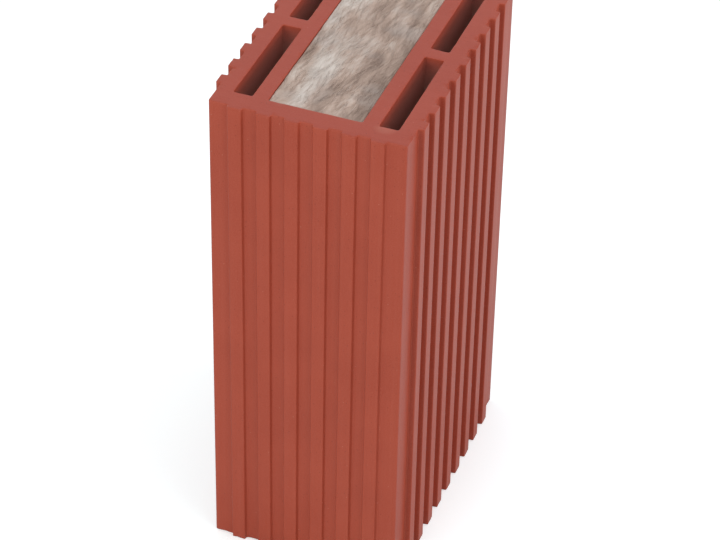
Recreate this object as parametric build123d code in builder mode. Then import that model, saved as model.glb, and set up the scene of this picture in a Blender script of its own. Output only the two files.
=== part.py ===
from build123d import *
from math import isclose
import os

# Sound insulating clay block with a mineral wool core, in millimetres.
# The block stands on one of its two cut ends, as it left the die, so that its cells
# run straight up through it. X goes through the wall that it builds and Y goes up
# that wall. The origin is the middle of the lower cut end.

# Fired clay body, between the flat margins beside its ribs
WALL_THICKNESS = 120.0
COURSE_HEIGHT = 185.2
BLOCK_LENGTH = 330.0
ARRIS_RADIUS = 1.2

# Plaster keys, the tall ribs along both wide faces
KEY_PITCH = 17.4
KEY_CROWN = 8.2
KEY_HEIGHT = 3.4
KEY_DRAFT = 0.5
KEY_MARGIN = 18.0

# Bed ribs, the lower ribs along both narrow faces
BED_RIB_PITCH = 17.3
BED_RIB_CROWN = 8.2
BED_RIB_HEIGHT = 2.4
BED_RIB_DRAFT = 0.8
BED_RIB_MARGIN = 11.0

# Rounding that the wet clay keeps along every rib
CROWN_RADIUS = 0.7
ROOT_RADIUS = 0.6

# Air cells, one row in each clay shell
OUTER_WALL = 10.0
CELL_WIDTH = 11.6
CELL_END_WALL = 13.3
CELL_WEB = 9.6
CELLS_IN_ROW = 2
CELL_RADIUS = 1.0

# Wool chamber between the two shells
INNER_WALL = 9.9
CHAMBER_END_WALL = 12.9
CHAMBER_RADIUS = 1.0

# Mineral wool slab, a light fit in its chamber and a little short of both cut ends
WOOL_CLEARANCE = 0.3
WOOL_RECESS = 2.0


def rib_count(face, margin, pitch, root):
    """How many ribs of one pitch stand on a face between its two flat margins."""
    return int((face - 2 * margin - root) // pitch) + 1


def rib_outline(crown, height, draft):
    """Trapezium of one rib, standing up from the X axis on its wide root."""
    half_root = crown / 2 + draft
    return [(-half_root, 0), (half_root, 0), (crown / 2, height), (-crown / 2, height)]


# Places worked out from the sizes above
half_thickness = WALL_THICKNESS / 2
half_course = COURSE_HEIGHT / 2
key_root = KEY_CROWN + 2 * KEY_DRAFT
key_count = rib_count(COURSE_HEIGHT, KEY_MARGIN, KEY_PITCH, key_root)
bed_rib_root = BED_RIB_CROWN + 2 * BED_RIB_DRAFT
bed_rib_count = rib_count(WALL_THICKNESS, BED_RIB_MARGIN, BED_RIB_PITCH, bed_rib_root)
cell_row_length = COURSE_HEIGHT - 2 * CELL_END_WALL
cell_length = (cell_row_length - (CELLS_IN_ROW - 1) * CELL_WEB) / CELLS_IN_ROW
cell_offset = half_thickness - OUTER_WALL - CELL_WIDTH / 2
chamber_width = WALL_THICKNESS - 2 * (OUTER_WALL + CELL_WIDTH + INNER_WALL)
chamber_length = COURSE_HEIGHT - 2 * CHAMBER_END_WALL


def is_arris(vertex):
    """True at the four corners of the body's plain rectangle."""
    return isclose(abs(vertex.X), half_thickness) and isclose(abs(vertex.Y), half_course)


def is_crown(vertex):
    """True at a corner that stands more than half a rib proud of the body."""
    on_key = abs(vertex.X) > half_thickness + KEY_HEIGHT / 2
    on_bed_rib = abs(vertex.Y) > half_course + BED_RIB_HEIGHT / 2
    return on_key or on_bed_rib


def is_root(vertex):
    """True at a corner where a rib leaves the body."""
    return not is_arris(vertex) and not is_crown(vertex)


# Clay block: one piece, extruded through a die, cut off and fired
with BuildPart() as clay_block:
    with BuildSketch() as body:
        Rectangle(WALL_THICKNESS, COURSE_HEIGHT)
        for side in (-1, 1):
            wide_face = Location((side * half_thickness, 0, 0), (0, 0, side * -90))
            narrow_face = Location((0, side * half_course, 0), (0, 0, 90 - side * 90))
            with Locations(wide_face):
                with GridLocations(KEY_PITCH, 0, key_count, 1):
                    Polygon(*rib_outline(KEY_CROWN, KEY_HEIGHT, KEY_DRAFT), align=None)
            with Locations(narrow_face):
                with GridLocations(BED_RIB_PITCH, 0, bed_rib_count, 1):
                    Polygon(*rib_outline(BED_RIB_CROWN, BED_RIB_HEIGHT, BED_RIB_DRAFT), align=None)
        fillet(body.vertices().filter_by(is_crown), CROWN_RADIUS)
        fillet(body.vertices().filter_by(is_root), ROOT_RADIUS)
        fillet(body.vertices().filter_by(is_arris), ARRIS_RADIUS)
    extrude(amount=BLOCK_LENGTH)

    with BuildSketch() as hollows:
        with GridLocations(2 * cell_offset, cell_length + CELL_WEB, 2, CELLS_IN_ROW):
            RectangleRounded(CELL_WIDTH, cell_length, CELL_RADIUS)
        RectangleRounded(chamber_width, chamber_length, CHAMBER_RADIUS)
    extrude(amount=BLOCK_LENGTH, mode=Mode.SUBTRACT)

# Mineral wool slab: cut to the chamber and pushed in, its two ends just below the clay
with BuildPart() as mineral_wool_slab:
    with BuildSketch(Plane.XY.offset(WOOL_RECESS)):
        Rectangle(chamber_width - 2 * WOOL_CLEARANCE, chamber_length - 2 * WOOL_CLEARANCE)
    extrude(amount=BLOCK_LENGTH - 2 * WOOL_RECESS)

clay_block.part.label = "clay_block"
mineral_wool_slab.part.label = "mineral_wool_slab"

os.makedirs("parts", exist_ok=True)
export_step(clay_block.part, "parts/clay_block.step")
export_step(mineral_wool_slab.part, "parts/mineral_wool_slab.step")
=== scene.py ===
"""Sound insulating clay block with a mineral wool core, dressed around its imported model.

The block stands on one cut end. The fired clay is one extruded body with plaster keys on its wide
faces, bed ribs on its narrow faces, four air cells and a middle chamber. The chamber holds a slab of
mineral wool whose fibres show at both cut ends.
"""

import math

import bpy
import numpy as np
from mathutils import Matrix, Vector
from mathutils.geometry import delaunay_2d_cdt


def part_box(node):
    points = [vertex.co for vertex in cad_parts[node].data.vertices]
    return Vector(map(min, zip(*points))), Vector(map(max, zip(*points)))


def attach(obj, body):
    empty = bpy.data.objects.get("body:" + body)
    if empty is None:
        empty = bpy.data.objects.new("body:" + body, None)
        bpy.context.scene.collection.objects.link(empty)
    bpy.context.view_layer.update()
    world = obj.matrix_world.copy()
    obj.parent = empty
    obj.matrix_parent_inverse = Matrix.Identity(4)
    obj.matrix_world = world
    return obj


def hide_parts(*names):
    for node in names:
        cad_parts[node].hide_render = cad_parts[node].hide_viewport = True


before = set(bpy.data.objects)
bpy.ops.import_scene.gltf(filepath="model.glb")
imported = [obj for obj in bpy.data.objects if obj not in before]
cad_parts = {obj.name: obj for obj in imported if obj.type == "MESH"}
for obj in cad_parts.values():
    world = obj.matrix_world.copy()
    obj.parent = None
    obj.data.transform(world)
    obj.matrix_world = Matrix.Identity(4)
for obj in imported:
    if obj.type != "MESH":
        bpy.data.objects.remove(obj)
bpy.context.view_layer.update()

bl_info = {
    "name": "Sound Insulation Clay Block",
    "version": (1, 0, 0),
    "blender": (4, 5, 0),
    "location": "View3D > Sidebar > Clay Block",
    "description": "Builds a ribbed clay block with a mineral wool core and its studio",
    "category": "Object",
}

MM = 0.001
CLAY_NODE = "clay_block"
WOOL_NODE = "mineral_wool_slab"
BODY = "root"


def srgb(red, green, blue):
    """Linear colour of an sRGB triple that is given from 0 to 255."""
    share = np.array([red, green, blue]) / 255.0
    low = share / 12.92
    high = ((share + 0.055) / 1.055) ** 2.4
    return tuple(float(value) for value in np.where(share <= 0.04045, low, high))


# Settings kept on the scene


def length_property(name, description, default_mm):
    """A length in metres whose default is given in millimetres."""
    return bpy.props.FloatProperty(
        name=name, description=description, default=default_mm * MM, min=0.0, precision=5, unit="LENGTH"
    )


def angle_property(name, description, default_degrees):
    """An angle in radians whose default is given in degrees."""
    return bpy.props.FloatProperty(
        name=name, description=description, default=math.radians(default_degrees), subtype="ANGLE"
    )


def count_property(name, description, default, lowest=1):
    """A whole number of like parts."""
    return bpy.props.IntProperty(name=name, description=description, default=default, min=lowest)


def colour_property(name, description, colour):
    """A linear colour swatch."""
    return bpy.props.FloatVectorProperty(
        name=name, description=description, default=colour, size=3, min=0.0, max=1.0, subtype="COLOR"
    )


class ClaySettings(bpy.types.PropertyGroup):
    """Section of the clay body and the finish of its fired faces."""

    key_pitch: length_property("Key pitch", "Middle to middle of two plaster keys", 17.4)
    key_crown: length_property("Key crown", "Width of a plaster key on its outer face", 8.2)
    key_height: length_property("Key height", "How far a plaster key stands proud", 3.4)
    key_draft: length_property("Key draft", "How much wider each side of a key is at its root", 0.5)
    key_count: count_property("Keys", "Plaster keys on a wide face", 9)
    rib_pitch: length_property("Bed rib pitch", "Middle to middle of two bed ribs", 17.3)
    rib_crown: length_property("Bed rib crown", "Width of a bed rib on its outer face", 8.2)
    rib_height: length_property("Bed rib height", "How far a bed rib stands proud", 2.4)
    rib_draft: length_property("Bed rib draft", "How much wider each side of a bed rib is at its root", 0.8)
    rib_count: count_property("Bed ribs", "Bed ribs on a narrow face", 6)
    arris_radius: length_property("Arris radius", "Rounding of the four long corners", 1.2)
    crown_radius: length_property("Crown radius", "Rounding along a rib's outer edges", 0.7)
    key_root_radius: length_property("Key root radius", "Rounding where a key leaves the body", 0.6)
    rib_root_radius: length_property("Bed rib root radius", "Rounding where a bed rib leaves the body", 1.1)
    outer_wall: length_property("Outer wall", "Clay between a wide face and the air cells", 10.0)
    cell_width: length_property("Cell width", "Width of an air cell", 11.6)
    cell_end_wall: length_property("Cell end wall", "Clay between a narrow face and the air cells", 13.3)
    cell_web: length_property("Cell web", "Clay between two air cells", 9.6)
    inner_wall: length_property("Inner wall", "Clay between the air cells and the wool chamber", 9.9)
    chamber_end_wall: length_property("Chamber end wall", "Clay between a narrow face and the chamber", 12.9)
    hollow_radius: length_property("Hollow radius", "Rounding of the corners of cells and chamber", 1.0)
    cut_edge_radius: length_property("Cut edge radius", "Mean rounding of the edges of a cut end", 0.35)
    drag_depth: length_property("Drag line depth", "Depth of the lines that the die leaves", 0.16)
    cut_relief: length_property("Cut relief", "Depth of the unevenness of a cut end", 0.22)
    chip_depth: length_property("Chip depth", "Depth of the small chips along the rims of a cut end", 0.4)
    face_colour: colour_property("Fired clay", "Main colour of the fired clay", srgb(163, 69, 48))
    dark_colour: colour_property("Darker clay", "Colour of harder fired patches", srgb(155, 63, 43))
    pale_colour: colour_property("Paler clay", "Colour of dusty patches and rubbed edges", srgb(176, 90, 72))
    # Painted shade: a darker colour down in the pores, which are only bumped into the surface
    painted_pore_shade: colour_property("Pores", "Colour down in the open pores", srgb(112, 42, 30))
    fleck_colour: colour_property("Flecks", "Colour of the sand and lime flecks", srgb(205, 150, 128))
    # Painted reflected light: a paler, greyer colour deep in the air cells and the chamber, where the lamps
    # reach little, and the depth at which it is full
    painted_hollow_light: colour_property("Painted hollow light", "Greyer colour deep in the hollows", srgb(198, 158, 148))
    painted_light_reach: length_property(
        "Painted hollow light reach", "Depth at which the hollows have their greyer colour", 27.0
    )


class WoolSettings(bpy.types.PropertyGroup):
    """Fibre lay and colours of the mineral wool."""

    lean: angle_property("Lean", "Mean turn of the fibres from the long side", -2)
    crossing: angle_property("Crossing", "Turn of the crossing fibres from the others", 17)
    wander: length_property("Wander", "How far a fibre line strays sideways", 5.0)
    wander_scale: length_property("Wander scale", "Distance over which a fibre line strays", 40.0)
    rise: length_property("Rise", "How far the torn wool swells above the cut of the slab", 1.15)
    tuft_relief: length_property("Tuft relief", "Height of the broad tufts", 0.6)
    strand_relief: length_property("Strand relief", "Height of the combed strands", 0.26)
    fibre_relief: length_property("Fibre relief", "Height of the finest combed lines", 0.14)
    strand_count: count_property("Loose strands", "Loose strands on each end", 1500, lowest=0)
    strand_radius: length_property("Strand radius", "Mean radius of a loose strand", 0.11)
    # Painted shade: the colour between the tufts; the pale fibre colour is partly painted light on them
    shade_colour: colour_property("Wool in shade", "Colour between the tufts", srgb(152, 132, 120))
    middle_colour: colour_property("Wool", "Main colour of the wool", srgb(189, 167, 153))
    light_colour: colour_property("Pale fibre", "Colour of the pale fibres", srgb(214, 204, 195))
    cool_colour: colour_property("Cool fibre", "Greyer colour of some patches", srgb(181, 170, 163))


class StageSettings(bpy.types.PropertyGroup):
    """Camera and white floor."""

    camera_place: bpy.props.FloatVectorProperty(
        name="Camera place",
        description="Where the camera stands",
        default=(0.4952, -1.3404, 1.2779),
        size=3,
        subtype="TRANSLATION",
    )
    camera_azimuth: angle_property("Azimuth", "Turn of the view from +Y towards -X", 20.3)
    camera_fall: angle_property("Downward tilt", "Angle of the view below level", 38.07)
    camera_roll: angle_property("Roll", "Turn of the picture about the view", -1.21)
    focal_length: bpy.props.FloatProperty(
        name="Focal length", description="Focal length in millimetres", default=146.9, min=1.0
    )
    floor_colour: colour_property("Floor", "Colour of the floor and backdrop", (0.755, 0.825, 0.83))


# Repeatable noise

# Multipliers of the hash, for the two coordinates, the seed and the mixing step, and the bits it keeps
HASH_X, HASH_Y, HASH_SEED, HASH_MIX = 374761393, 668265263, 974711, 1274126177
HASH_BITS, VALUE_BITS = 0xFFFFFFFF, 0xFFFFFF


def lattice_value(column, row, seed):
    """Value from 0 to 1 at whole-number lattice points, from a shift-and-multiply hash."""
    mixed = (column * HASH_X + row * HASH_Y + seed * HASH_SEED) & HASH_BITS
    mixed = ((mixed ^ (mixed >> 13)) * HASH_MIX) & HASH_BITS
    return ((mixed ^ (mixed >> 16)) & VALUE_BITS) / VALUE_BITS


def smooth_noise(x, y, seed):
    """Noise from -1 to 1: the four lattice values round a point, blended by 3t^2 - 2t^3 on each axis."""
    x, y = np.broadcast_arrays(np.asarray(x, float), np.asarray(y, float))
    column, row = np.floor(x).astype(np.int64), np.floor(y).astype(np.int64)
    blend_x, blend_y = (t * t * (3 - 2 * t) for t in (x - column, y - row))
    total = np.zeros(x.shape)
    for dx in (0, 1):
        for dy in (0, 1):
            share = (blend_x if dx else 1 - blend_x) * (blend_y if dy else 1 - blend_y)
            total += share * lattice_value(column + dx, row + dy, seed)
    return 2 * total - 1


def layered_noise(x, y, size, seed, layers=2):
    """Noise of a given size along x and y, plus layers each half as wide and half as strong as the last."""
    x, y = x / size[0], y / size[1]
    total = 0.0
    for layer in range(layers):
        finer = 2**layer
        total = total + smooth_noise(x * finer, y * finer, seed + layer) / finer
    return total / (2 - 2.0 ** (1 - layers))


# Meshes


def make_piece(name, points, faces, smooth=True):
    """A mesh object at the origin from an array of points and a list of faces."""
    mesh = bpy.data.meshes.new(name)
    mesh.from_pydata(points.tolist(), [], faces)
    mesh.polygons.foreach_set("use_smooth", np.full(len(mesh.polygons), smooth))
    mesh.update()
    piece = bpy.data.objects.new(name, mesh)
    bpy.context.scene.collection.objects.link(piece)
    return piece


def set_point_attribute(piece, name, values):
    """Stores one number for each point, for the material to read."""
    stored = piece.data.attributes.new(name, "FLOAT", "POINT")
    stored.data.foreach_set("value", values.astype(np.float32))


def ring_faces(rows, columns, first=0):
    """Four-sided faces between rows of points that each close on themselves."""
    row, column = np.meshgrid(np.arange(rows - 1), np.arange(columns), indexing="ij")
    beside = (column + 1) % columns
    near, far = first + row * columns, first + (row + 1) * columns
    return np.stack([near + column, near + beside, far + beside, far + column], -1).reshape(-1, 4)


def grid_faces(rows, columns, first=0):
    """Four-sided faces of an open grid of points, seen anticlockwise with rows going up."""
    row, column = np.meshgrid(np.arange(rows - 1), np.arange(columns - 1), indexing="ij")
    corner = first + row * columns + column
    return np.stack([corner, corner + 1, corner + columns + 1, corner + columns], -1).reshape(-1, 4)


def unit(vectors):
    """Vectors scaled to length one."""
    return vectors / np.linalg.norm(vectors, axis=-1, keepdims=True)


# Clay body

# Longest step round the body's outline and round a hollow's, and the step across a cut end
BODY_STEP, HOLLOW_STEP, CUT_END_STEP = 1.3 * MM, 3.0 * MM, 2.2 * MM

# Rows up the straight part of a wall, and points along the arc of a corner or of a cut edge
BODY_ROWS, HOLLOW_ROWS = 34, 24
ARC_POINTS = 5

# Between rows and at least to a rim on a cut end, in steps, and the distance that makes one point of two
ROW_SHARE, RIM_SHARE = 0.87, 0.45
MERGE_DISTANCE = 1e-9

# Size of each unevenness, along x and y on a cut end and round and up the block on a wall
CUT_WAVES, WIRE_LINES, EDGE_ROUNDING = (22 * MM, 22 * MM), (30 * MM, 1.6 * MM), (9 * MM, 9 * MM)
DIE_LINES, WALL_SWELL = (1.7 * MM, 160 * MM), (35 * MM, 70 * MM)
CHIP_WIDTH = 3.2 * MM

# Strength of each, as a share of the depth or radius that the settings give
WAVE_SHARE, WIRE_SHARE, EDGE_SHARE = 0.32, 0.18, 0.45
LINE_SHARE, SWELL_SHARE = 0.3, 0.2

# A chip begins where the noise times the gain passes the floor
CHIP_GAIN, CHIP_FLOOR = 2.4, 1.2

# Seeds of the two cut ends and of the first wall, and what is added for each next wall and each unevenness
LOWER_CUT_SEED, UPPER_CUT_SEED = 31, 57
WALL_SEED, NEXT_WALL = 100, 10
WIRE_SEED, LINE_SEED, SWELL_SEED, LOWER_CHIP_SEED, UPPER_CHIP_SEED = 7, 3, 5, 8, 9


def rounded_outline(corners, radii, spacing):
    """Closed outline of a polygon whose corners are arcs tangent to both sides.

    The arc's centre lies on the corner's bisector, at radius / sin(half the corner). Straight
    stretches are then divided evenly into steps no longer than the spacing.
    """
    back = unit(np.roll(corners, 1, axis=0) - corners)
    ahead = unit(np.roll(corners, -1, axis=0) - corners)
    half_corner = np.arccos(np.clip((back * ahead).sum(1), -1, 1)) / 2
    reach = (radii / np.tan(half_corner))[:, None]
    centre = corners + unit(back + ahead) * (radii / np.sin(half_corner))[:, None]
    start, end = corners + back * reach - centre, corners + ahead * reach - centre
    first = np.arctan2(start[:, 1], start[:, 0])
    sweep = (np.arctan2(end[:, 1], end[:, 0]) - first + math.pi) % (2 * math.pi) - math.pi
    angle = first[:, None] + sweep[:, None] * np.linspace(0, 1, ARC_POINTS)
    arcs = centre[:, None] + radii[:, None, None] * np.stack([np.cos(angle), np.sin(angle)], -1)
    points = arcs.reshape(-1, 2)
    gap = np.roll(points, -1, axis=0) - points
    parts = np.maximum(1, np.ceil(np.linalg.norm(gap, axis=1) / spacing)).astype(int)
    index = np.repeat(np.arange(len(points)), parts)
    step = np.arange(parts.sum()) - (np.cumsum(parts) - parts)[index]
    return points[index] + gap[index] * (step / parts[index])[:, None]


def outward(points):
    """Unit normals of a closed outline, to the right of its direction of travel."""
    travel = unit(np.roll(points, -1, axis=0) - points)
    mean = unit(travel + np.roll(travel, 1, axis=0))
    return np.stack([mean[:, 1], -mean[:, 0]], -1)


def ribbed_side(start, along, away, length, count, pitch, crown, draft, height):
    """Corners of one side of the body: its first arris, then root, crown, crown, root of each rib."""
    middles = length / 2 + (np.arange(count) - (count - 1) / 2) * pitch
    reach = np.array([-crown / 2 - draft, -crown / 2, crown / 2, crown / 2 + draft])
    distance = (middles[:, None] + reach).ravel()
    rise = np.tile([0.0, height, height, 0.0], count)
    ribs = start + distance[:, None] * along + rise[:, None] * away
    return np.vstack([start[None], ribs])


def body_outline(clay, half_x, half_y):
    """Anticlockwise corners of the ribbed body and the radius of each."""
    keys = (clay.key_count, clay.key_pitch, clay.key_crown, clay.key_draft, clay.key_height)
    ribs = (clay.rib_count, clay.rib_pitch, clay.rib_crown, clay.rib_draft, clay.rib_height)
    sides, radii = [], []
    for quarter, shape in enumerate((ribs, keys, ribs, keys)):
        turn = quarter * math.pi / 2
        along = np.round([math.cos(turn), math.sin(turn)])
        away = np.round([math.sin(turn), -math.cos(turn)])
        half_along, half_away = (half_y, half_x) if quarter % 2 else (half_x, half_y)
        start = away * half_away - along * half_along
        sides.append(ribbed_side(start, along, away, 2 * half_along, *shape))
        root_radius = clay.key_root_radius if quarter % 2 else clay.rib_root_radius
        rib_radii = np.tile([root_radius, clay.crown_radius, clay.crown_radius, root_radius], shape[0])
        radii.append(np.r_[clay.arris_radius, rib_radii])
    return np.vstack(sides), np.hstack(radii)


def hollow_corners(centre, size):
    """Clockwise corners of a rectangular hollow."""
    signs = np.array([(-1, -1), (-1, 1), (1, 1), (1, -1)])
    return np.array(centre) + signs * np.array(size) / 2


def hollows(clay, half_x, half_y):
    """Clockwise corners of the four air cells and of the wool chamber, in that order."""
    cell_x = half_x - clay.outer_wall - clay.cell_width / 2
    cell_length = half_y - clay.cell_end_wall - clay.cell_web / 2
    cell_y = (clay.cell_web + cell_length) / 2
    found = []
    for side_x in (-1, 1):
        for side_y in (-1, 1):
            found.append(hollow_corners((side_x * cell_x, side_y * cell_y), (clay.cell_width, cell_length)))
    chamber_x = 2 * (half_x - clay.outer_wall - clay.cell_width - clay.inner_wall)
    chamber_y = 2 * (half_y - clay.chamber_end_wall)
    found.append(hollow_corners((0.0, 0.0), (chamber_x, chamber_y)))
    return found


def cut_relief(x, y, depth, seed):
    """How far a cut end lies below its plane: broad waves plus faint wire drag across the thickness."""
    waves = layered_noise(x, y, CUT_WAVES, seed, layers=3)
    drag = layered_noise(x, y, WIRE_LINES, seed + WIRE_SEED)
    return depth * np.clip(0.5 + WAVE_SHARE * waves + WIRE_SHARE * drag, 0, 1)


def chipped(travelled, depth, seed):
    """How far chips lower the rim of a cut end: noise along the rim, kept only where it is high."""
    noise = smooth_noise(travelled / CHIP_WIDTH, 0.0, seed)
    return depth * np.clip(CHIP_GAIN * noise - CHIP_FLOOR, 0, 1)


def wall_rows(points, clay, low, high, straight_rows, seed):
    """Rows of one wall, from the lower cut end to the upper one.

    A row's point is the outline's point moved into the clay by the rounding of the cut edge and by
    the drag lines. The rounding follows a quarter circle, 1 - cosine across and sine in height. The
    rims follow the waves of the cut ends, and small chips lower them here and there.
    """
    normals = outward(points)
    x, y = points[:, 0], points[:, 1]
    radius = clay.cut_edge_radius * (1 + EDGE_SHARE * layered_noise(x, y, EDGE_ROUNDING, seed))
    quarter = np.linspace(0, math.pi / 2, ARC_POINTS)
    inset_arc = radius * (1 - np.cos(quarter))[:, None]
    rise_arc = radius * (1 - np.sin(quarter))[:, None]
    share = np.linspace(0, 1, straight_rows)[1:-1, None]
    inset = np.vstack([inset_arc[::-1], np.zeros((straight_rows - 2, len(points))), inset_arc])
    travelled = np.cumsum(np.linalg.norm(np.diff(points, axis=0, append=points[:1]), axis=1))
    lower_chips = chipped(travelled, clay.chip_depth, seed + LOWER_CHIP_SEED)
    upper_chips = chipped(travelled, clay.chip_depth, seed + UPPER_CHIP_SEED)
    low_end = low + cut_relief(x, y, clay.cut_relief, LOWER_CUT_SEED) + lower_chips
    high_end = high - cut_relief(x, y, clay.cut_relief, UPPER_CUT_SEED) - upper_chips
    lower, upper = low_end + radius, high_end - radius
    height = np.vstack([low_end + rise_arc[::-1], lower + (upper - lower) * share, high_end - rise_arc])
    lines = layered_noise(travelled, height, DIE_LINES, seed + LINE_SEED)
    swell = layered_noise(travelled, height, WALL_SWELL, seed + SWELL_SEED)
    sunk = clay.drag_depth * (0.5 + LINE_SHARE * lines + SWELL_SHARE * swell)
    moved = (inset + sunk)[:, :, None]
    place = points[None] - normals[None] * moved
    return np.concatenate([place, height[:, :, None]], axis=2)


def inside_outline(x, y, outline):
    """True where a point lies in a closed outline: a ray towards +X crosses it an odd number of times."""
    ahead = np.roll(outline, -1, axis=0)
    crosses = (outline[:, 1] > y[:, None]) != (ahead[:, 1] > y[:, None])
    rise = np.where(ahead[:, 1] == outline[:, 1], 1.0, ahead[:, 1] - outline[:, 1])
    meet = outline[:, 0] + (y[:, None] - outline[:, 1]) / rise * (ahead[:, 0] - outline[:, 0])
    return (crosses & (x[:, None] < meet)).sum(1) % 2 == 1


def in_clay(x, y, outlines):
    """True inside the first outline and outside the others."""
    solid = inside_outline(x, y, outlines[0])
    for outline in outlines[1:]:
        solid &= ~inside_outline(x, y, outline)
    return solid


def cut_end(rings, first_new):
    """Triangles of a cut end between its rings, with new points on a staggered grid inside.

    Each ring is a pair of its points and their numbers. Returns the new points' x and y and the
    triangles, anticlockwise, by final point number.
    """
    outlines, numbers = zip(*rings)
    outer = outlines[0]
    columns = np.arange(outer[:, 0].min() + CUT_END_STEP, outer[:, 0].max(), CUT_END_STEP)
    rows = np.arange(outer[:, 1].min() + CUT_END_STEP, outer[:, 1].max(), CUT_END_STEP * ROW_SHARE)
    x, y = np.meshgrid(columns, rows)
    x = x + (np.arange(len(rows)) % 2)[:, None] * CUT_END_STEP / 2
    candidates = np.stack([x.ravel(), y.ravel()], -1)
    edge_points = np.vstack(outlines)
    away = np.linalg.norm(candidates[:, None] - edge_points, axis=2).min(1)
    keep = (away > RIM_SHARE * CUT_END_STEP) & in_clay(candidates[:, 0], candidates[:, 1], outlines)
    inner = candidates[keep]
    points = np.vstack([edge_points, inner])
    edges, count = [], 0
    for outline in outlines:
        here = count + np.arange(len(outline))
        edges.append(np.stack([here, np.roll(here, -1)], -1))
        count += len(outline)
    flat = [Vector(point) for point in points.tolist()]
    made = delaunay_2d_cdt(flat, np.vstack(edges).tolist(), [], 0, MERGE_DISTANCE)
    source = np.array([found[0] for found in made[3]])
    corners = source[np.array(made[2])]
    middle = points[corners].mean(1)
    corners = corners[in_clay(middle[:, 0], middle[:, 1], outlines)]
    side = points[corners[:, 1:]] - points[corners[:, :1]]
    turned = side[:, 0, 0] * side[:, 1, 1] - side[:, 0, 1] * side[:, 1, 0] < 0
    corners[turned] = corners[turned][:, ::-1]
    final = np.r_[np.hstack(numbers), first_new + np.arange(len(inner))]
    return inner, final[corners]


def depth_share(height, low, high, reach):
    """0 at both cut ends and 1 from the given reach inwards, by 3t^2 - 2t^3."""
    share = np.clip(np.minimum(height - low, high - height) / reach, 0, 1)
    return share**2 * (3 - 2 * share)


def clay_body_mesh(clay):
    """Points and faces of the whole clay body, and two numbers for each point.

    Six walls are carried up the block and two cut ends close them. The first number is 1 on a cut end
    and 0 on a wall, and the second grows from 0 to 1 down the hollows, as the share of their painted
    reflected light.
    """
    low, high = np.array(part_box(CLAY_NODE))
    half_x, half_y = high[0] - clay.key_height, high[1] - clay.rib_height
    outlines = [(rounded_outline(*body_outline(clay, half_x, half_y), BODY_STEP), BODY_ROWS)]
    radii = np.full(4, clay.hollow_radius)
    for corners in hollows(clay, half_x, half_y):
        outlines.append((rounded_outline(corners, radii, HOLLOW_STEP), HOLLOW_ROWS))
    points, faces, lower_rings, upper_rings = [], [], [], []
    on_cut, hollow_light_share = [], []
    count = 0
    for number, (outline, straight_rows) in enumerate(outlines):
        seed = WALL_SEED + NEXT_WALL * number
        rows = wall_rows(outline, clay, low[2], high[2], straight_rows, seed)
        columns = len(outline)
        faces += ring_faces(len(rows), columns, count).tolist()
        lower_rings.append((rows[0, :, :2], count + np.arange(columns)))
        last_row = count + (len(rows) - 1) * columns
        upper_rings.append((rows[-1, :, :2], last_row + np.arange(columns)))
        points.append(rows.reshape(-1, 3))
        on_cut.append(np.repeat(np.r_[1.0, np.zeros(len(rows) - 2), 1.0], columns))
        # Share of the painted reflected light, growing down the hollows and nil on the outer walls
        share = depth_share(rows[..., 2].ravel(), low[2], high[2], clay.painted_light_reach)
        hollow_light_share.append(share if number else np.zeros(share.shape))
        count += len(rows) * columns
    ends = ((lower_rings, low[2], LOWER_CUT_SEED, True), (upper_rings, high[2], UPPER_CUT_SEED, False))
    for rings, level, seed, turned in ends:
        inner, triangles = cut_end(rings, count)
        relief = cut_relief(inner[:, 0], inner[:, 1], clay.cut_relief, seed)
        height = level + relief if turned else level - relief
        points.append(np.column_stack([inner, height]))
        on_cut.append(np.ones(len(inner)))
        hollow_light_share.append(np.zeros(len(inner)))
        faces += (triangles[:, ::-1] if turned else triangles).tolist()
        count += len(inner)
    return np.vstack(points), faces, np.hstack(on_cut), np.hstack(hollow_light_share)


# Mineral wool

# Least step across an end of the slab, and how low and how high the wool may stand on it
WOOL_STEP = 0.65 * MM
WOOL_FLOOR, WOOL_CEILING = -5.55 * MM, 1.85 * MM

# Seeds of the clouds, tufts, strands and fibres of each end, and of the main and the crossing lay
LOWER_WOOL_SEEDS = (301, 302, 303, 304)
UPPER_WOOL_SEEDS = (658, 866, 402, 403)
LAY_SEEDS = (5, 9)

# What is added to a seed for the patches and the fibres of the crossing lay
PATCH_SEED, CROSSING_SEED = 40, 20

# Width and length of each, and how much it changes the tone
CLOUD_SIZE, TUFT_SIZE = (13 * MM, 40 * MM), (5 * MM, 15 * MM)
STRAND_SIZE, FIBRE_SIZE = (1.5 * MM, 6 * MM), (0.7 * MM, 3.5 * MM)
CLOUD_TONE, TUFT_TONE, STRAND_TONE, FIBRE_TONE = 0.36, 0.2, 0.08, 0.07

# Mean share of the crossing lay, how sharply it comes and goes, and the width of its patches
CROSSING_SHARE, CROSSING_CONTRAST = 0.4, 1.3
PATCH_WIDTH = 11 * MM

# Samples that are averaged each way along a fibre, and how fast they grow independent of each other
COMB_STEPS = 9
INDEPENDENCE = 0.7


def fibre_line(x, y, wool, lay):
    """Number that stays the same along a fibre: the distance across the lean, plus a wandering shift.

    Lay 0 is the main one and lay 1 crosses it.
    """
    lean, scale = wool.lean + lay * wool.crossing, wool.wander_scale
    across = x * math.cos(lean) - y * math.sin(lean)
    return across + wool.wander * layered_noise(x, y, (scale, scale), LAY_SEEDS[lay])


def fibre_direction(x, y, wool, lay):
    """Unit vector along the fibres: square to the slope of the fibre line number."""
    nudge = 0.2 * MM
    slope_x = fibre_line(x + nudge, y, wool, lay) - fibre_line(x - nudge, y, wool, lay)
    slope_y = fibre_line(x, y + nudge, wool, lay) - fibre_line(x, y - nudge, wool, lay)
    return unit(np.stack([-slope_y, slope_x], -1))


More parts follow.
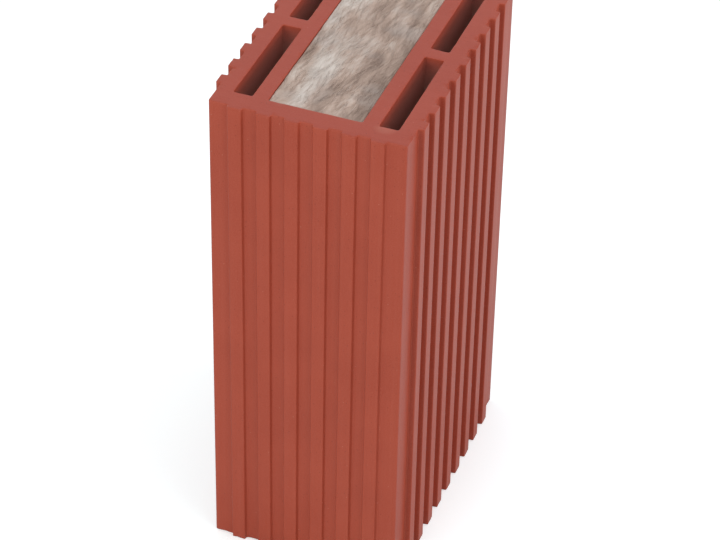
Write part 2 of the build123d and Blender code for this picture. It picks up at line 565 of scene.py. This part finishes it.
def combed_noise(x, y, wool, size, seed, lay=0):
    """Noise of a given width, averaged along the fibres over a given length.

    The mean is then made about as strong as a single sample, by the root of the number of samples
    that are independent of each other.
    """
    width, length = size
    stride = length / (2 * COMB_STEPS)
    total = smooth_noise(x / width, y / width, seed)
    for way in (-1, 1):
        place = np.stack([x, y], -1)
        for _ in range(COMB_STEPS):
            place = place + way * stride * fibre_direction(place[..., 0], place[..., 1], wool, lay)
            total = total + smooth_noise(place[..., 0] / width, place[..., 1] / width, seed)
    samples = 2 * COMB_STEPS + 1
    independent = min(samples, 1 + INDEPENDENCE * length / width)
    return total / samples * math.sqrt(independent)


def wool_surface(x, y, wool, seeds):
    """Height of the torn wool above its mean, in metres, and its tone from 0, shaded, to 1, pale.

    Broad clouds and tufts follow the main lay. Strands and fibres mix both lays by a smooth share.
    """
    clouds = combed_noise(x, y, wool, CLOUD_SIZE, seeds[0])
    tufts = combed_noise(x, y, wool, TUFT_SIZE, seeds[1])
    patches = smooth_noise(x / PATCH_WIDTH, y / PATCH_WIDTH, seeds[2] + PATCH_SEED)
    share = np.clip(CROSSING_SHARE + CROSSING_CONTRAST * patches, 0, 1)
    fine = []
    for size, seed in ((STRAND_SIZE, seeds[2]), (FIBRE_SIZE, seeds[3])):
        main = combed_noise(x, y, wool, size, seed)
        crossing = combed_noise(x, y, wool, size, seed + CROSSING_SEED, lay=1)
        fine.append((1 - share) * main + share * crossing)
    strands, fibres = fine
    height = wool.rise + wool.tuft_relief * (0.6 * clouds + 0.4 * tufts)
    height = height + wool.strand_relief * strands + wool.fibre_relief * fibres
    # The tone follows the same noises as the height: painted shade darkens the wool between the tufts and
    # painted light makes it paler on them, besides its own mottled colour
    tone = 0.5 + CLOUD_TONE * clouds + TUFT_TONE * tufts + STRAND_TONE * strands + FIBRE_TONE * fibres
    return height, np.clip(tone, 0, 1)


def wool_ends(low, high):
    """Level, outward way and seeds of the lower and of the upper end of the wool."""
    return (low[2], -1, LOWER_WOOL_SEEDS), (high[2], 1, UPPER_WOOL_SEEDS)


def wool_slab_mesh(wool):
    """Points, faces and tones of the slab: two fibrous ends and plain cut sides."""
    low, high = np.array(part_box(WOOL_NODE))
    columns = int((high[0] - low[0]) / WOOL_STEP) + 1
    rows = int((high[1] - low[1]) / WOOL_STEP) + 1
    x, y = np.meshgrid(np.linspace(low[0], high[0], columns), np.linspace(low[1], high[1], rows))
    points, tones = [], []
    for level, way, seeds in wool_ends(low, high):
        relief, tone = wool_surface(x, y, wool, seeds)
        relief = np.clip(relief, WOOL_FLOOR, WOOL_CEILING)
        points.append(np.stack([x, y, level + way * relief], -1).reshape(-1, 3))
        tones.append(tone.ravel())
    above = rows * columns
    faces = np.vstack([grid_faces(rows, columns)[:, ::-1], grid_faces(rows, columns, above)])
    number = np.arange(above).reshape(rows, columns)
    rim = np.r_[number[0, :-1], number[:-1, -1], number[-1, :0:-1], number[:0:-1, 0]]
    beside = np.roll(rim, -1)
    sides = np.stack([rim, beside, beside + above, rim + above], -1)
    return np.vstack(points), faces.tolist() + sides.tolist(), np.hstack(tones)


# Loose strands

STRAND_SEED = 11

# Points along a strand and round it
STRAND_POINTS, STRAND_SIDES = 8, 3

# Distance from the slab's edge within which no strand starts and at which one is held, and the share of
# its steps across that it keeps there
START_MARGIN, HELD_MARGIN = 0.5 * MM, 0.3 * MM
EDGE_SLIP = 0.02

# Range of length, of lift off the wool and of radius as a share of the mean, and how far its ends stray
STRAND_LENGTHS = (5 * MM, 16 * MM)
STRAND_LIFTS = (-0.1 * MM, 0.55 * MM)
STRAND_RADII = (0.5, 1.4)
STRAND_BEND = 0.5 * MM

# Lift that every strand gets besides, and how low and how high one may lie on the slab
STRAND_LIFT = 0.05 * MM
STRAND_FLOOR, STRAND_CEILING = -4 * MM, 1.8 * MM

# How far along its sine the radius starts, and the mean and spread of what a strand adds to the tone
TAPER_START = 0.06
TONE_SHIFT, TONE_SPREAD = 0.04, 0.1


def strand_paths(wool, draw, low, high):
    """X and Y of the points of all loose strands of one end, stepped along the fibres together.

    At the slab's edge a strand turns along the wall, where its steps across are cut to a fiftieth, so
    that no two of its points meet.
    """
    count = wool.strand_count
    place = draw.uniform(low[:2] + START_MARGIN, high[:2] - START_MARGIN, (count, 2))
    stride = draw.uniform(*STRAND_LENGTHS, count) / (STRAND_POINTS - 1)
    crosses = draw.random((count, 1)) < CROSSING_SHARE
    path = [place]
    for _ in range(STRAND_POINTS - 1):
        main, crossing = (fibre_direction(place[:, 0], place[:, 1], wool, lay) for lay in (0, 1))
        place = place + np.where(crosses, crossing, main) * stride[:, None]
        path.append(place)
    bend = draw.normal(0, STRAND_BEND, (count, 1, 2)) * np.linspace(-1, 1, STRAND_POINTS)[:, None]
    path = np.stack(path, 1) + bend
    held = np.clip(path, low[:2] + HELD_MARGIN, high[:2] - HELD_MARGIN)
    return held + EDGE_SLIP * (path - held)


def tube_points(centre, radius):
    """Points of a many-sided tube round each strand, on circles across its direction of travel."""
    travel = unit(np.gradient(centre, axis=1))
    across = unit(np.cross(travel, np.array([0.0, 0.0, 1.0])))
    upward = np.cross(across, travel)
    angle = 2 * math.pi * np.arange(STRAND_SIDES) / STRAND_SIDES
    rim = np.cos(angle)[:, None] * across[:, :, None] + np.sin(angle)[:, None] * upward[:, :, None]
    return (centre[:, :, None] + radius[:, :, None, None] * rim).reshape(-1, 3)


def tube_faces(count, first):
    """Faces of a number of strands whose points follow each other: sides, first caps and last caps."""
    sides = ring_faces(STRAND_POINTS, STRAND_SIDES)[:, ::-1]
    starts = first + np.arange(count)[:, None, None] * STRAND_POINTS * STRAND_SIDES
    cap = np.arange(STRAND_SIDES)
    last_ring = (STRAND_POINTS - 1) * STRAND_SIDES
    faces = (starts + sides).reshape(-1, 4).tolist()
    faces += (starts[:, 0] + cap).tolist()
    faces += (starts[:, 0] + last_ring + cap[::-1]).tolist()
    return faces


def loose_strand_mesh(wool):
    """Points, faces and tones of the loose strands of both ends: three-sided tubes along their paths.

    A strand lifts off the wool by a sine along its length, and its radius follows nearly the same
    sine, so that it is thin at both ends.
    """
    low, high = np.array(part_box(WOOL_NODE))
    draw = np.random.default_rng(STRAND_SEED)
    count, strand_size = wool.strand_count, STRAND_POINTS * STRAND_SIDES
    share = np.linspace(0, 1, STRAND_POINTS)
    taper = np.sin(math.pi * (TAPER_START + (1 - 2 * TAPER_START) * share))
    points, faces, tones = [], [], []
    for level, way, seeds in wool_ends(low, high):
        path = strand_paths(wool, draw, low, high)
        relief, local_tone = wool_surface(path[..., 0], path[..., 1], wool, seeds)
        lift = draw.uniform(*STRAND_LIFTS, (count, 1)) * np.sin(math.pi * share) + STRAND_LIFT
        height = np.clip(relief + lift, STRAND_FLOOR, STRAND_CEILING)
        centre = np.concatenate([path, (level + way * height)[..., None]], -1)
        radius = draw.uniform(*STRAND_RADII, (count, 1)) * wool.strand_radius * taper
        faces += tube_faces(count, len(points) * count * strand_size)
        points.append(tube_points(centre, radius))
        tone = np.clip(local_tone.mean(1) + draw.normal(TONE_SHIFT, TONE_SPREAD, count), 0, 1)
        tones.append(np.repeat(tone, strand_size))
    return np.vstack(points), faces, np.hstack(tones)


def set_wool_attributes(piece, tones, wool):
    """Stores the tone, and the fibre line and place along it in millimetres, for the material."""
    set_point_attribute(piece, "fibre_tone", tones)
    mesh = piece.data
    place = np.zeros(len(mesh.vertices) * 3, np.float32)
    mesh.vertices.foreach_get("co", place)
    place = place.reshape(-1, 3).astype(float)
    across = fibre_line(place[:, 0], place[:, 1], wool, 0)
    corner = np.zeros(len(mesh.loops), np.int32)
    mesh.loops.foreach_get("vertex_index", corner)
    fibre_uv = np.stack([across, place[:, 1]], -1)[corner] / MM
    mesh.uv_layers.new(name="fibre_lay").data.foreach_set("uv", fibre_uv.ravel().astype(np.float32))


# Materials


class Nodes:
    """Small helper that adds shader nodes to a new material or world and joins them."""

    def __init__(self, owner):
        owner.use_nodes = True
        self.owner = owner
        self.tree = owner.node_tree
        self.tree.nodes.clear()

    def add(self, kind, sockets=None, **values):
        """A node with its properties set, then its sockets joined or given a value by name or number."""
        node = self.tree.nodes.new(kind)
        for key, value in values.items():
            setattr(node, key, value)
        for key, value in (sockets or {}).items():
            if isinstance(value, bpy.types.NodeSocket):
                self.tree.links.new(value, node.inputs[key])
            else:
                node.inputs[key].default_value = value
        return node

    def mix(self, share, first, second):
        """Colour socket of a mix of two colours, which the node takes in its sockets 6 and 7."""
        return self.add("ShaderNodeMix", {0: share, 6: first, 7: second}, data_type="RGBA").outputs[2]

    def noise(self, vector, scale, detail, roughness=0.55, distortion=0.0):
        """Value socket of a noise texture."""
        sockets = {
            "Vector": vector,
            "Scale": scale,
            "Detail": detail,
            "Roughness": roughness,
            "Distortion": distortion,
        }
        return self.add("ShaderNodeTexNoise", sockets).outputs["Fac"]

    def spots(self, vector, scale, size, rarity):
        """Value socket that is 1 in scattered round spots and 0 between them.

        Each Voronoi cell has a spot if its random colour passes the rarity. The spot's radius is the
        given share of the cell's width, and its outer four tenths fade.
        """
        cells = self.add("ShaderNodeTexVoronoi", {"Vector": vector, "Scale": scale}, feature="F1")
        inside = self.band(cells.outputs["Distance"], size, size * 0.6)
        chance = self.add("ShaderNodeSeparateColor", {"Color": cells.outputs["Color"]}).outputs["Red"]
        return self.maths("MULTIPLY", inside, self.maths("GREATER_THAN", chance, rarity))

    def band(self, value, low, high):
        """Value stretched so that low gives 0 and high gives 1, held between them."""
        sockets = {"Value": value, "From Min": low, "From Max": high}
        return self.add("ShaderNodeMapRange", sockets).outputs["Result"]

    def maths(self, operation, first, second):
        """Value socket of a sum, product or comparison of two values."""
        return self.add("ShaderNodeMath", {0: first, 1: second}, operation=operation).outputs[0]

    def stretched(self, vector, scale):
        """Vector socket scaled differently on each axis."""
        return self.add("ShaderNodeMapping", {"Vector": vector, "Scale": scale}).outputs["Vector"]

    def seen(self):
        """Value socket that is 1 for a ray from the camera, from a reflection or through glass."""
        rays = self.add("ShaderNodeLightPath").outputs
        camera_or_gloss = self.maths("MAXIMUM", rays["Is Camera Ray"], rays["Is Glossy Ray"])
        return self.maths("MAXIMUM", camera_or_gloss, rays["Is Transmission Ray"])

    def finish(self, shader, output="ShaderNodeOutputMaterial"):
        """Joins the shader to the output and returns the material or world."""
        self.add(output, {"Surface": shader})
        return self.owner


def opaque(colour):
    """Linear colour with full alpha."""
    return (*colour, 1.0)


# Middle and reach of the paler patch on the near rim of one air cell
PALE_PATCH_PLACE = (0.0425, -0.0815, 0.33)
PALE_PATCH_REACH = (0.0075, 0.0048, 0.005)


def fired_clay_material(clay):
    """Fired clay: mottled red with sand grain and flecks, open pores darkened by painted shade, and
    painted reflected light that makes it paler and greyer deep in the hollows.

    Its lines follow the block on the walls, as the die leaves them, and cross it on the cut ends, as
    the wire does. One rim of an air cell has a paler patch.
    """
    nodes = Nodes(bpy.data.materials.new("fired_clay_finish"))
    place = nodes.add("ShaderNodeTexCoord").outputs["Object"]
    cut_end = nodes.add("ShaderNodeAttribute", attribute_name="cut_end").outputs["Fac"]
    hollow_light_share = nodes.add("ShaderNodeAttribute", attribute_name="hollow_light_share").outputs["Fac"]
    clouds = nodes.noise(place, scale=22.0, detail=4.0, roughness=0.6)
    up_the_block = nodes.stretched(place, (1.0, 1.0, 0.012))
    across_the_block = nodes.stretched(place, (0.06, 1.0, 1.0))
    die_lines = nodes.noise(up_the_block, scale=480.0, detail=4.0, roughness=0.65)
    wire_lines = nodes.noise(across_the_block, scale=520.0, detail=3.0, roughness=0.6)
    either = {0: cut_end, 2: die_lines, 3: wire_lines}
    lines = nodes.add("ShaderNodeMix", either, data_type="FLOAT").outputs[0]
    grain = nodes.noise(place, scale=1200.0, detail=5.0, roughness=0.75)
    pores = nodes.spots(place, scale=430.0, size=0.17, rarity=0.68)
    flecks = nodes.spots(place, scale=310.0, size=0.11, rarity=0.89)
    patch = {"Vector": place, "Location": PALE_PATCH_PLACE, "Scale": PALE_PATCH_REACH}
    rim = nodes.add("ShaderNodeMapping", patch, vector_type="TEXTURE").outputs["Vector"]
    from_rim = nodes.add("ShaderNodeVectorMath", {0: rim}, operation="LENGTH").outputs["Value"]
    colour = nodes.mix(nodes.band(clouds, 0.3, 0.75), opaque(clay.dark_colour), opaque(clay.face_colour))
    tints = (
        (nodes.band(lines, 0.45, 0.75), 0.16, clay.pale_colour),
        (nodes.band(grain, 0.44, 0.68), 0.42, clay.pale_colour),
        (nodes.band(from_rim, 1.0, 0.5), 0.12, clay.fleck_colour),
        # Painted shade darkens the bumped pores
        (pores, 0.6, clay.painted_pore_shade),
        (flecks, 0.4, clay.fleck_colour),
        # Painted reflected light that makes the clay paler and greyer deep in the hollows
        (hollow_light_share, 0.85, clay.painted_hollow_light),
    )
    for where, strength, tint in tints:
        colour = nodes.mix(nodes.maths("MULTIPLY", where, strength), colour, opaque(tint))
    relief = nodes.maths("ADD", nodes.maths("MULTIPLY", lines, 0.5), nodes.maths("MULTIPLY", grain, 0.8))
    relief = nodes.maths("SUBTRACT", relief, nodes.maths("MULTIPLY", pores, 0.5))
    bump = nodes.add("ShaderNodeBump", {"Strength": 0.45, "Distance": 0.16 * MM, "Height": relief})
    rough = nodes.add("ShaderNodeMapRange", {"Value": grain, "To Min": 0.3, "To Max": 0.46})
    finish = {
        "Base Color": colour,
        "Roughness": rough.outputs["Result"],
        "Normal": bump.outputs["Normal"],
        "Specular IOR Level": 0.2,
    }
    return nodes.finish(nodes.add("ShaderNodeBsdfPrincipled", finish).outputs[0])


def mineral_wool_material(wool):
    """Mineral wool: tone of each tuft, partly painted shade and light, and finer streaks along the lay."""
    nodes = Nodes(bpy.data.materials.new("combed_wool"))
    place = nodes.add("ShaderNodeTexCoord").outputs["Object"]
    lay = nodes.add("ShaderNodeUVMap", uv_map="fibre_lay").outputs["UV"]
    tone = nodes.add("ShaderNodeAttribute", attribute_name="fibre_tone").outputs["Fac"]
    along_fibres = nodes.stretched(lay, (1.0, 0.22, 1.0))
    combed = nodes.noise(along_fibres, scale=1.7, detail=5.0, roughness=0.7, distortion=0.4)
    patches = nodes.noise(place, scale=45.0, detail=2.0)
    fine = nodes.maths("MULTIPLY", nodes.maths("SUBTRACT", combed, 0.5), 0.5)
    # The streaks lighten the colour where their bump rises, a painted light besides their own streaked
    # colour
    share = nodes.maths("ADD", tone, fine)
    colour = nodes.mix(nodes.band(share, 0.12, 0.52), opaque(wool.shade_colour), opaque(wool.middle_colour))
    colour = nodes.mix(nodes.band(share, 0.5, 0.95), colour, opaque(wool.light_colour))
    cool_share = nodes.maths("MULTIPLY", nodes.band(patches, 0.5, 0.68), 0.5)
    colour = nodes.mix(cool_share, colour, opaque(wool.cool_colour))
    bump = nodes.add("ShaderNodeBump", {"Strength": 0.4, "Distance": 0.3 * MM, "Height": combed})
    finish = {
        "Base Color": colour,
        "Roughness": 0.95,
        "Normal": bump.outputs["Normal"],
        "Specular IOR Level": 0.15,
    }
    return nodes.finish(nodes.add("ShaderNodeBsdfPrincipled", finish).outputs[0])


# Distances from the block between which the floor turns plain white, and its glow near the block
PLAIN_FLOOR_FROM, PLAIN_FLOOR_TO = 0.35, 0.9
FLOOR_GLOW = 0.4


def floor_material(stage):
    """White floor that keeps the block's shadow near it and is plain white further off."""
    nodes = Nodes(bpy.data.materials.new("studio_floor"))
    place = nodes.add("ShaderNodeTexCoord").outputs["Object"]
    distance = nodes.add("ShaderNodeVectorMath", {0: place}, operation="LENGTH").outputs["Value"]
    camera_ray = nodes.add("ShaderNodeLightPath").outputs["Is Camera Ray"]
    matte = nodes.add("ShaderNodeBsdfDiffuse", {"Color": opaque(stage.floor_colour)}).outputs[0]
    glow = nodes.maths("MULTIPLY", camera_ray, FLOOR_GLOW)
    near_glow = nodes.add("ShaderNodeEmission", {"Strength": glow}).outputs[0]
    near = nodes.add("ShaderNodeAddShader", {0: matte, 1: near_glow}).outputs[0]
    white = nodes.add("ShaderNodeEmission", {"Strength": 1.0}).outputs[0]
    far_off = nodes.band(distance, PLAIN_FLOOR_FROM, PLAIN_FLOOR_TO)
    far_share = nodes.maths("MULTIPLY", far_off, nodes.seen())
    return nodes.finish(nodes.add("ShaderNodeMixShader", {0: far_share, 1: near, 2: white}).outputs[0])


# Stage

FLOOR_HALF = 15.0
SOFTBOX_SIZE = 0.9
SOFTBOX_REACH = 2.2
SOFTBOX_TARGET = Vector((0.0, 0.0, 0.16))

# Degrees from the front towards the right, degrees above level, watts and colour of each softbox
SOFTBOXES = {
    "front": (-12, 14, 16.0, (0.97, 1.0, 1.0)),
    "front_right": (60, 20, 6.2, (1.0, 1.0, 1.0)),
    "right": (115, 18, 11.5, (0.9, 0.86, 1.0)),
    "high_right": (90, 52, 4.8, (0.97, 0.98, 1.0)),
    "back": (-160, 41, 2.2, (0.5, 0.7, 1.0)),
    "left": (-110, 14, 8.0, (1.0, 1.0, 1.0)),
    "top": (0, 89, 6.0, (1.0, 1.0, 1.0)),
}
AIR_LEVEL = 0.6


def add_softbox(name, azimuth, rise, power, colour):
    """A square softbox that faces the block from its two angles and is not seen by the camera."""
    lamp = bpy.data.lights.new(name, "AREA")
    lamp.shape = "SQUARE"
    lamp.size = SOFTBOX_SIZE
    lamp.energy = power
    lamp.color = colour
    turn, lift = math.radians(azimuth), math.radians(rise)
    away = Vector((math.cos(lift) * math.sin(turn), -math.cos(lift) * math.cos(turn), math.sin(lift)))
    softbox = bpy.data.objects.new(name, lamp)
    softbox.location = SOFTBOX_TARGET + SOFTBOX_REACH * away
    softbox.rotation_mode = "QUATERNION"
    softbox.rotation_quaternion = (-away).to_track_quat("-Z", "Y")
    softbox.visible_camera = False
    bpy.context.scene.collection.objects.link(softbox)


def set_world(strength):
    """Even white light from all round, and plain white where the camera or a reflection sees it."""
    nodes = Nodes(bpy.data.worlds.new("studio_air"))
    level = nodes.add("ShaderNodeMapRange", {"Value": nodes.seen(), "To Min": strength, "To Max": 1.0})
    air = {"Color": opaque((1.0, 1.0, 1.0)), "Strength": level.outputs["Result"]}
    background = nodes.add("ShaderNodeBackground", air).outputs[0]
    bpy.context.scene.world = nodes.finish(background, "ShaderNodeOutputWorld")


def set_camera(stage):
    """Camera at its place, turned by azimuth, downward tilt and roll."""
    camera = bpy.data.objects.new("camera", bpy.data.cameras.new("camera"))
    bpy.context.scene.collection.objects.link(camera)
    bpy.context.scene.camera = camera
    camera.data.sensor_width = 36.0
    camera.data.lens = stage.focal_length
    camera.data.clip_end = 50.0
    upright = Matrix.Rotation(stage.camera_azimuth, 4, "Z")
    tilt = Matrix.Rotation(math.pi / 2 - stage.camera_fall, 4, "X")
    roll = Matrix.Rotation(-stage.camera_roll, 4, "Z")
    camera.matrix_world = Matrix.Translation(stage.camera_place) @ upright @ tilt @ roll


# Operators


def make_wool_piece(name, shape, wool):
    """A piece of wool from its points, faces and tones, with the one wool material."""
    points, faces, tones = shape
    piece = make_piece(name, points, faces)
    set_wool_attributes(piece, tones, wool)
    piece.data.materials.append(bpy.data.materials.get("combed_wool") or mineral_wool_material(wool))
    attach(piece, BODY)
    return piece


class SOUNDBLOCK_OT_clay_body(bpy.types.Operator):
    """Build the extruded and fired clay body with its ribs, air cells and chamber"""

    bl_idname = "sound_block.clay_body"
    bl_label = "Clay Body"

    def execute(self, context):
        clay = context.scene.clay_settings
        points, faces, on_cut, hollow_light_share = clay_body_mesh(clay)
        piece = make_piece("clay_body", points, faces)
        set_point_attribute(piece, "cut_end", on_cut)
        set_point_attribute(piece, "hollow_light_share", hollow_light_share)
        piece.data.materials.append(fired_clay_material(clay))
        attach(piece, BODY)
        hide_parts(CLAY_NODE)
        return {"FINISHED"}


class SOUNDBLOCK_OT_wool_slab(bpy.types.Operator):
    """Build the mineral wool slab with its torn, combed ends"""

    bl_idname = "sound_block.wool_slab"
    bl_label = "Wool Slab"

    def execute(self, context):
        wool = context.scene.wool_settings
        slab = make_wool_piece("wool_slab", wool_slab_mesh(wool), wool)
        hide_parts(WOOL_NODE)
        return {"FINISHED"}


class SOUNDBLOCK_OT_wool_strands(bpy.types.Operator):
    """Lay loose strands of fibre over both ends of the wool"""

    bl_idname = "sound_block.wool_strands"
    bl_label = "Loose Strands"

    def execute(self, context):
        wool = context.scene.wool_settings
        make_wool_piece("wool_strands", loose_strand_mesh(wool), wool)
        return {"FINISHED"}


class SOUNDBLOCK_OT_stage(bpy.types.Operator):
    """Set up the white floor, the soft lamps and the camera"""

    bl_idname = "sound_block.stage"
    bl_label = "Studio"

    def execute(self, context):
        stage = context.scene.stage_settings
        context.scene.view_settings.view_transform = "Standard"
        corners = FLOOR_HALF * np.array([(-1, -1, 0), (1, -1, 0), (1, 1, 0), (-1, 1, 0)])
        floor = make_piece("floor", corners, [[0, 1, 2, 3]], smooth=False)
        floor.data.materials.append(floor_material(stage))
        for name, values in SOFTBOXES.items():
            add_softbox(f"{name}_softbox", *values)
        set_world(AIR_LEVEL)
        set_camera(stage)
        return {"FINISHED"}


class SOUNDBLOCK_PT_sidebar(bpy.types.Panel):
    """Lists the block's pieces and the studio"""

    bl_idname = "SOUNDBLOCK_PT_sidebar"
    bl_label = "Clay Block"
    bl_space_type = "VIEW_3D"
    bl_region_type = "UI"
    bl_category = "Clay Block"

    def draw(self, context):
        for operator in OPERATORS:
            self.layout.operator(operator.bl_idname)


SETTINGS = {"clay_settings": ClaySettings, "wool_settings": WoolSettings, "stage_settings": StageSettings}
OPERATORS = (
    SOUNDBLOCK_OT_clay_body,
    SOUNDBLOCK_OT_wool_slab,
    SOUNDBLOCK_OT_wool_strands,
    SOUNDBLOCK_OT_stage,
)


def register():
    for name, group in SETTINGS.items():
        bpy.utils.register_class(group)
        setattr(bpy.types.Scene, name, bpy.props.PointerProperty(type=group))
    for operator in OPERATORS:
        bpy.utils.register_class(operator)
    bpy.utils.register_class(SOUNDBLOCK_PT_sidebar)


def unregister():
    bpy.utils.unregister_class(SOUNDBLOCK_PT_sidebar)
    for operator in reversed(OPERATORS):
        bpy.utils.unregister_class(operator)
    for name, group in SETTINGS.items():
        delattr(bpy.types.Scene, name)
        bpy.utils.unregister_class(group)


def write_sizes():
    """Brings the scene's placements up to date."""
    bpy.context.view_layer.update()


def main():
    """Registers the add-on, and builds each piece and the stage."""
    register()
    bpy.ops.sound_block.clay_body()
    bpy.ops.sound_block.wool_slab()
    bpy.ops.sound_block.wool_strands()
    bpy.ops.sound_block.stage()
    write_sizes()


if __name__ == "__main__":
    main()
